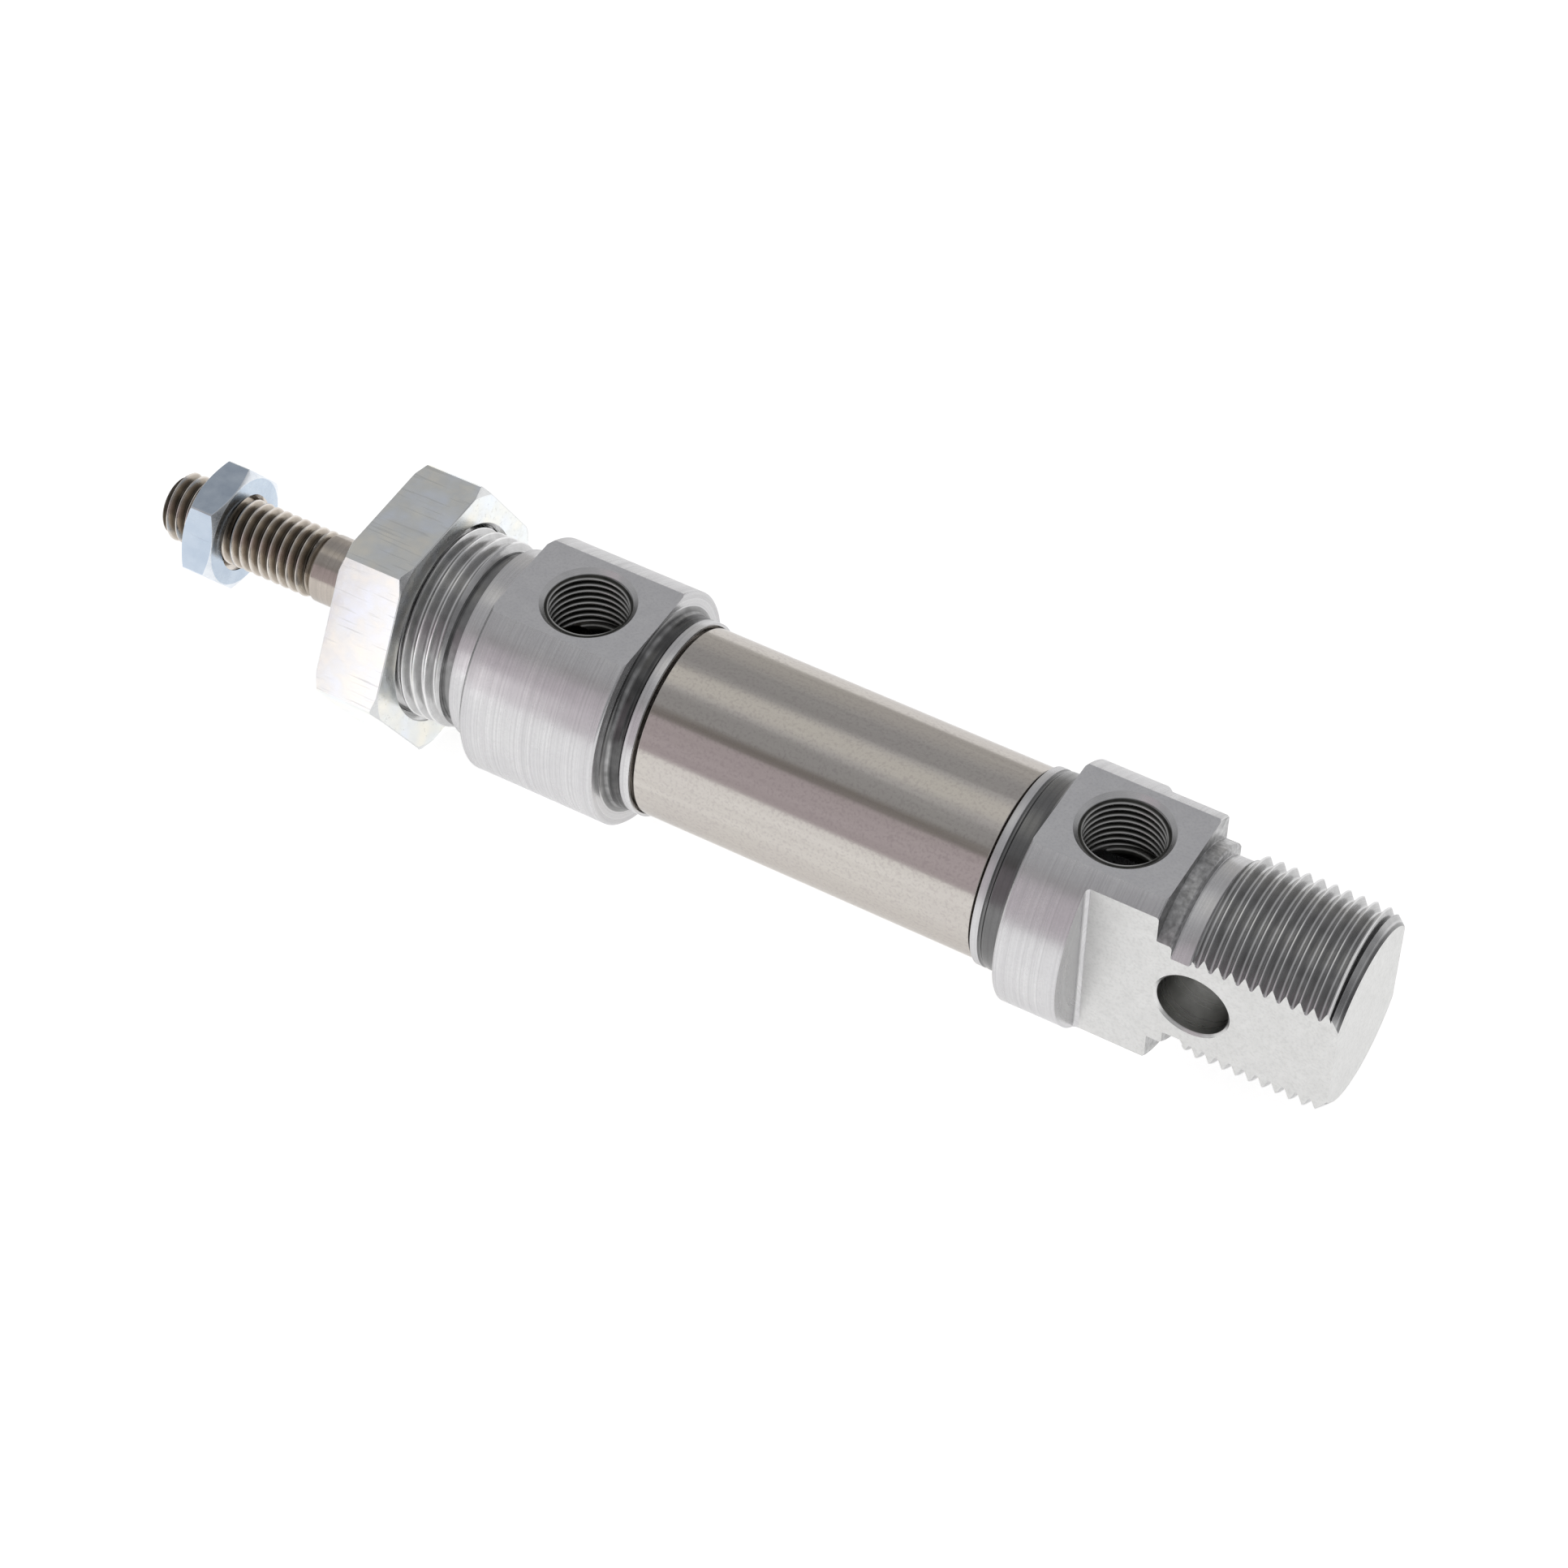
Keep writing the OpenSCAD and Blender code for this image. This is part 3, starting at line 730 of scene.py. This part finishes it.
def flat_cutter(side, start, shoulder):
    """What is cut away for one of the tail's flats, with a small fillet at its shoulder."""
    fillet = 0.5
    past = 1
    arc = [(shoulder - fillet * (1 - math.sin(math.radians(15 * k))),
            side * (TAIL_FLAT_Y + fillet * (1 - math.cos(math.radians(15 * k))))) for k in range(7)]
    outer = [(shoulder, side * (CAP_R + past)), (start - past, side * (CAP_R + past))]
    outline = [(start - past, side * TAIL_FLAT_Y)] + arc + outer
    return prism("flat_cutter", outline, -CAP_R - past, CAP_R + past)


def cross_hole_cutter():
    """The tail's cross hole, with a broken edge where it meets each flat."""
    edge = 0.3
    out = 1.0

    def outline(_):
        half = [(0, CROSS_R), (TAIL_FLAT_Y - edge, CROSS_R), (TAIL_FLAT_Y + out, CROSS_R + edge + out),
                (TAIL_FLAT_Y + out, 0)]
        return [(-x, r) for x, r in half[::-1]] + half[1:]

    drill = lathe("cross_hole", outline, even_turns(144))
    drill.data.transform(Matrix.Translation((CROSS_X * MM, 0, 0)) @ Matrix.Rotation(math.radians(90), 4, "Z"))
    return drill


def make_rear_cap():
    """The rear cap: spigot, lip, body, register, undercut and threaded tail, with flats and a cross hole."""
    register = 1.7
    neck = 2.3
    neck_slope = 0.3
    start_height = 0.5
    tip_chamfer = 1.3
    plain_tip = 0.9        # length of the plain cone at the tail's tip
    start = REAR_FACE - SPIGOT_EXTRA - REAR_LIP
    body_end = start - REAR_BODY
    register_end = body_end - register
    thread_end = register_end - neck
    cone_end = TAIL_END + plain_tip
    pocket_past_port = 0.8
    pocket_end = mount_place("rear_port") - PORT_R - pocket_past_port

    def limit(x):
        return min(STUD_R - tip_chamfer + (x - TAIL_END), RELIEF_R + start_height + (thread_end - x))

    def outline(turn):
        inside = [(pocket_end, 0), (pocket_end, POCKET_R)]
        lip = lip_outline(start, REAR_LIP, REAR_BEAD, 1)[::-1]
        body = [(start, CAP_R - BEVEL), (start - BEVEL, CAP_R), (body_end + BEVEL, CAP_R),
                (body_end, CAP_R - BEVEL), (body_end, STUD_R), (register_end + BEVEL, STUD_R),
                (register_end, STUD_R - BEVEL), (register_end, RELIEF_R),
                (thread_end + neck_slope, RELIEF_R), (thread_end, RELIEF_R + neck_slope)]
        front = softened(inside[1:] + spigot_outline(start, REAR_FACE, 1)[::-1] + lip + body)
        threaded = thread(cone_end, thread_end, STUD_R, M22_PITCH, turn, -plain_tip, limit=limit)[::-1]
        tip = [(cone_end, limit(cone_end)), (TAIL_END, STUD_R - tip_chamfer), (TAIL_END, 0)]
        return inside[:1] + front + threaded + tip

    cap = lathe("rear_cap_turned", outline, even_turns(240))
    port_x = mount_place("rear_port")
    shoulder = start - FLAT_SHOULDER
    cut(cap, *port_cutters("rear", port_x, body_end - 0.5, start + 1), flat_cutter(1, TAIL_END, shoulder),
        flat_cutter(-1, TAIL_END, shoulder), cross_hole_cutter())

    def pick(centre, normal):
        if in_port(centre, port_x):
            return 3
        if on_port_flat(centre, normal):
            return 1
        if in_cross_hole(centre):
            return 5
        on_flat = abs(normal.y) > 0.999 and abs(abs(centre.y) - TAIL_FLAT_Y) < 0.02
        if on_flat or centre.x < TAIL_END + 0.01:
            return 4
        # The root of the lip: painted shade.
        if in_lip_groove(centre, start, REAR_LIP, REAR_BEAD, 1):
            return 6
        # The register and its face toward the tail: painted shade.
        if register_end < centre.x < body_end + 0.05:
            return 7
        return 2 if centre.x < thread_end + 0.1 else 0

    materials = [CAP, CAP_FLAT, TAIL_THREAD_SHADED, PORT_INSIDE_SHADED["rear"], TAIL_FLAT, CROSS_BORE_SHADED, CAP_GROOVE_SHADE, CAP_FACE_SHADE]
    finish_piece(cap, "barrel", "rear_cap", materials, pick)


# ---------------------------------------------------------------- barrel, rod and nuts

def make_barrel():
    """The barrel, with the shallow groove that the mouth of each lip is rolled down into."""
    depth = 0.3
    seen = 0.4
    under = 0.6

    def groove(mouth, toward):
        """Outline of the groove at a lip's mouth. toward is the way that the lip points."""
        bottom = TUBE_R - depth
        return [(mouth - toward * under, TUBE_R), (mouth - toward * (under - 0.2), bottom),
                (mouth + toward * (seen - 0.15), bottom), (mouth + toward * seen, TUBE_R)]

    def outline(_):
        rear = groove(REAR_FACE - SPIGOT_EXTRA, 1)
        front = groove(FRONT_FACE + SPIGOT_EXTRA, -1)[::-1]
        return softened([(TUBE_REAR, BORE_R), (TUBE_REAR, TUBE_R)] + rear + front
                        + [(TUBE_FRONT, TUBE_R), (TUBE_FRONT, BORE_R)], 0.08, closed=True)

    barrel = lathe("barrel_drawn_tube", outline, even_turns(240), closed=True)
    finish_piece(barrel, "barrel", "barrel_tube", [BARREL])


def make_rod():
    """The rod, from the pin inside the piston over the ground shank to the threaded end."""
    pin_r = 3.0
    tip_chamfer = 0.8
    shank_chamfer = 0.5
    thread_slope = 1.2
    shank_end = ROD_THREAD_START - shank_chamfer

    def limit(x):
        return min(ROD_R - tip_chamfer + (ROD_TIP - x),
                   ROD_R - shank_chamfer + thread_slope * (x - ROD_THREAD_START))

    def outline(turn):
        tail = softened([(ROD_BACK, 0), (ROD_BACK, pin_r - BEVEL), (ROD_BACK + BEVEL, pin_r),
                         (PISTON_FACE, pin_r), (PISTON_FACE, ROD_R), (shank_end, ROD_R),
                         (ROD_THREAD_START, ROD_R - shank_chamfer)])
        threaded = thread(ROD_THREAD_START, ROD_TIP, ROD_R, M8_PITCH, turn, 0.3, limit=limit)
        return tail + threaded + [(ROD_TIP, 0)]

    rod = lathe("piston_rod_ground", outline, even_turns(144))

    def pick(centre, _):
        return 1 if centre.x > shank_end else 0

    finish_piece(rod, "rod", "piston_rod", [ROD, ROD_THREAD_SHADED], pick)


def hexagon_turns(corner):
    """Turns for a hexagon whose corners are at corner + 60 k degrees: close together at the corners."""
    along_side = [2 + k * 56 / 26 for k in range(27)]
    steps = [0, 0.2, 0.37, 0.7] + along_side + [59.3, 59.63, 59.8]
    return [(corner + 60 * side + step) / 360 for side in range(6) for step in steps] + [corner / 360 + 1]


def make_nut(name, node, body, low, high, across, face_r, hole_r, sink, pitch, corner, materials,
             rim_corners):
    """A hexagon nut with both faces chamfered, corners slightly worn and a thread inside.

    low and high are its ends along X, across is its width across flats, face_r the radius of its round
    faces and sink the depth of the hole's chamfers. corner is where a corner of the hexagon is, in degrees
    right-handed about +X from +Z. materials are for the outside, the thread and the rim: the chamfers and,
    where rim_corners is true, the worn corners too.
    """
    corner_r = across / 2 / math.cos(math.radians(30))
    worn = corner_r * 0.993
    least = 0.12           # the smallest width of the chamfer
    mouth_r = hole_r + sink * 1.4

    def outline(turn):
        from_middle = (turn * 360 - corner) % 60 - 30
        side_r = min(across / 2 / math.cos(math.radians(from_middle)), worn)
        face_edge = min(face_r, side_r - least)
        drop = max((side_r - face_r) * math.tan(math.radians(30)), least * 0.7)
        outside = softened([(low, mouth_r), (low, face_edge), (low + drop, side_r), (high - drop, side_r),
                            (high, face_edge), (high, mouth_r)], 0.05)

        def sunk(x):
            return max(hole_r + sink - (x - low), hole_r + sink - (high - x))

        inside = thread(low, high, hole_r, pitch, turn, cut=-1.0)[::-1]
        return outside + [(x, max(r, sunk(x))) for x, r in inside]

    nut = lathe(name, outline, hexagon_turns(corner), closed=True)

    def pick(centre, normal):
        across_axis = math.hypot(centre.y, centre.z)
        if across_axis < hole_r + sink + 0.5:
            return 1 if abs(normal.x) < 0.98 else 0
        sloping = 0.3 < abs(normal.x) < 0.97
        worn_corner = rim_corners and across_axis > worn - 0.01
        return 2 if sloping or worn_corner else 0

    finish_piece(nut, body, node, materials, pick)


def make_nuts():
    make_nut("nose_nut_hex", "nose_nut", "nose_nut", NOSE_NUT_REAR, NOSE_NUT_FRONT,
             across=NOSE_NUT_ACROSS, face_r=NOSE_NUT_ACROSS * 0.54, hole_r=STUD_R + SLIP, sink=0.6,
             pitch=M22_PITCH, corner=-31.5, materials=[NOSE_ZINC, NOSE_THREAD_SHADED, NOSE_RIM_SHADE], rim_corners=False)
    make_nut("rod_nut_hex", "rod_nut", "rod_nut", ROD_NUT_REAR, ROD_NUT_FRONT,
             across=ROD_NUT_ACROSS, face_r=ROD_NUT_ACROSS * 0.49, hole_r=ROD_R + SLIP, sink=0.4,
             pitch=M8_PITCH, corner=-37.5, materials=[ROD_ZINC, ROD_THREAD_SHADED, ROD_RIM_WEAR_AND_HIGHLIGHT], rim_corners=True)


# ---------------------------------------------------------------- studio

def make_floor():
    """A pale paper floor just under the part, in metres."""
    size = 4.0
    gap = 0.00002
    mesh = bpy.data.meshes.new("floor")
    low = cad_low.z - gap
    mesh.from_pydata([(-size, -size, low), (size, -size, low), (size, size, low), (-size, size, low)], [],
                     [(0, 1, 2, 3)])
    floor = add_object("floor", mesh)
    n = Nodes("floor_paper")
    cloud = n.noise(n.scaled(6, 6, 6), 2.0)
    n.done(n.blend(cloud, (0.86, 0.86, 0.86), (0.89, 0.89, 0.89)), 0.8, metallic=0.0,
           Emission_Color=(1.0, 1.0, 0.995, 1.0), Emission_Strength=0.72)
    mesh.materials.append(n.material)


STUDIO_GREY = (0.44, 0.44, 0.45, 1)
# Round panels of the studio: direction, angles where each is full and where it is gone, and colour. Those
# with an X near 0.336 make the bands along the barrel.
PANELS = [
    ((0.34, -0.13, 0.93), 4, 16, (0.60, 0.59, 0.56, 1)),         # light, overhead
    ((0.336, 0.871, 0.357), 20, 24, (0.60, 0.54, 0.575, 1)),     # light and lilac, on the +Y side
    ((0.336, 0.61, 0.717), 3, 8, (0.27, 0.25, 0.24, 1)),         # dark, between the two above
    ((-0.96, 0.25, 0.0), 15, 35, (0.20, 0.20, 0.21, 1)),         # dark, off the tail
    ((0.336, -0.942, 0.0), 5, 40, (0.60, 0.59, 0.575, 1))]       # light, level, on the -Y side


def make_world():
    """A grey studio with soft-edged panels, whose tone depends on the direction. The camera sees white."""
    world = bpy.data.worlds.new("studio")
    bpy.context.scene.world = world
    world.use_nodes = True
    tree = world.node_tree
    tree.nodes.clear()
    direction = tree.nodes.new("ShaderNodeTexCoord").outputs["Generated"]

    def panel(below, toward, inner, outer, colour):
        """Mixes in a round panel: full inside one angle from its direction, gone outside the other."""
        dot = tree.nodes.new("ShaderNodeVectorMath")
        dot.operation = "DOT_PRODUCT"
        tree.links.new(direction, dot.inputs[0])
        dot.inputs[1].default_value = Vector(toward).normalized()
        edge = tree.nodes.new("ShaderNodeMapRange")
        edge.interpolation_type = "SMOOTHSTEP"
        tree.links.new(dot.outputs["Value"], edge.inputs["Value"])
        edge.inputs["From Min"].default_value = math.cos(math.radians(outer))
        edge.inputs["From Max"].default_value = math.cos(math.radians(inner))
        mix = tree.nodes.new("ShaderNodeMix")
        mix.data_type = "RGBA"
        tree.links.new(edge.outputs["Result"], mix.inputs["Factor"])
        if isinstance(below, tuple):
            mix.inputs["A"].default_value = below
        else:
            tree.links.new(below, mix.inputs["A"])
        mix.inputs["B"].default_value = colour
        return mix.outputs["Result"]

    sky = STUDIO_GREY
    for toward, inner, outer, colour in PANELS:
        sky = panel(sky, toward, inner, outer, colour)
    background = tree.nodes.new("ShaderNodeBackground")
    tree.links.new(sky, background.inputs["Color"])
    backdrop = tree.nodes.new("ShaderNodeBackground")
    backdrop.inputs["Color"].default_value = (1, 1, 1, 1)
    seen = tree.nodes.new("ShaderNodeLightPath")
    choose = tree.nodes.new("ShaderNodeMixShader")
    tree.links.new(seen.outputs["Is Camera Ray"], choose.inputs["Fac"])
    tree.links.new(background.outputs[0], choose.inputs[1])
    tree.links.new(backdrop.outputs[0], choose.inputs[2])
    out = tree.nodes.new("ShaderNodeOutputWorld")
    tree.links.new(choose.outputs[0], out.inputs["Surface"])


def softbox(name, place, aim, width, height, power):
    """A rectangular light, placed and aimed in mm."""
    light = bpy.data.lights.new(name, "AREA")
    light.shape = "RECTANGLE"
    light.size = width * MM
    light.size_y = height * MM
    light.energy = power
    obj = add_object(name, light)
    obj.visible_camera = False
    obj.location = Vector(place) * MM
    obj.rotation_euler = (Vector(aim) - Vector(place)).to_track_quat("-Z", "Y").to_euler()


def make_lights():
    softbox("side_softbox", place=(56, 120, 26), aim=(56, 0, 26), width=28, height=62, power=0.004)
    softbox("top_softbox", place=(60, -60, 700), aim=(-30, 0, 0), width=500, height=500, power=0.15)


def make_camera():
    """The photograph's viewpoint, as the fitted perspective gives it. The place is in metres."""
    place = (-0.17875, 0.25423, 0.31882)
    azimuth = math.radians(209.892)
    elevation = math.radians(47.676)
    roll = math.radians(0.380)
    back = Vector((math.sin(azimuth) * math.cos(elevation), -math.cos(azimuth) * math.cos(elevation),
                   math.sin(elevation)))
    right = Vector((0, 0, 1)).cross(back).normalized()
    up = back.cross(right)
    tilted_right = right * math.cos(roll) + up * math.sin(roll)
    tilted_up = up * math.cos(roll) - right * math.sin(roll)
    data = bpy.data.cameras.new("camera")
    data.sensor_width = 36
    data.lens = 93.42
    data.clip_start = 0.01
    data.clip_end = 50
    camera = add_object("camera", data)
    turn = Matrix((tilted_right, tilted_up, back)).transposed().to_4x4()
    camera.matrix_world = Matrix.Translation(place) @ turn
    bpy.context.scene.camera = camera


bpy.context.scene.view_settings.view_transform = "Standard"
dress_inner_parts()
make_front_cap()
make_rear_cap()
make_barrel()
make_rod()
make_nuts()
make_floor()
make_world()
make_lights()
make_camera()
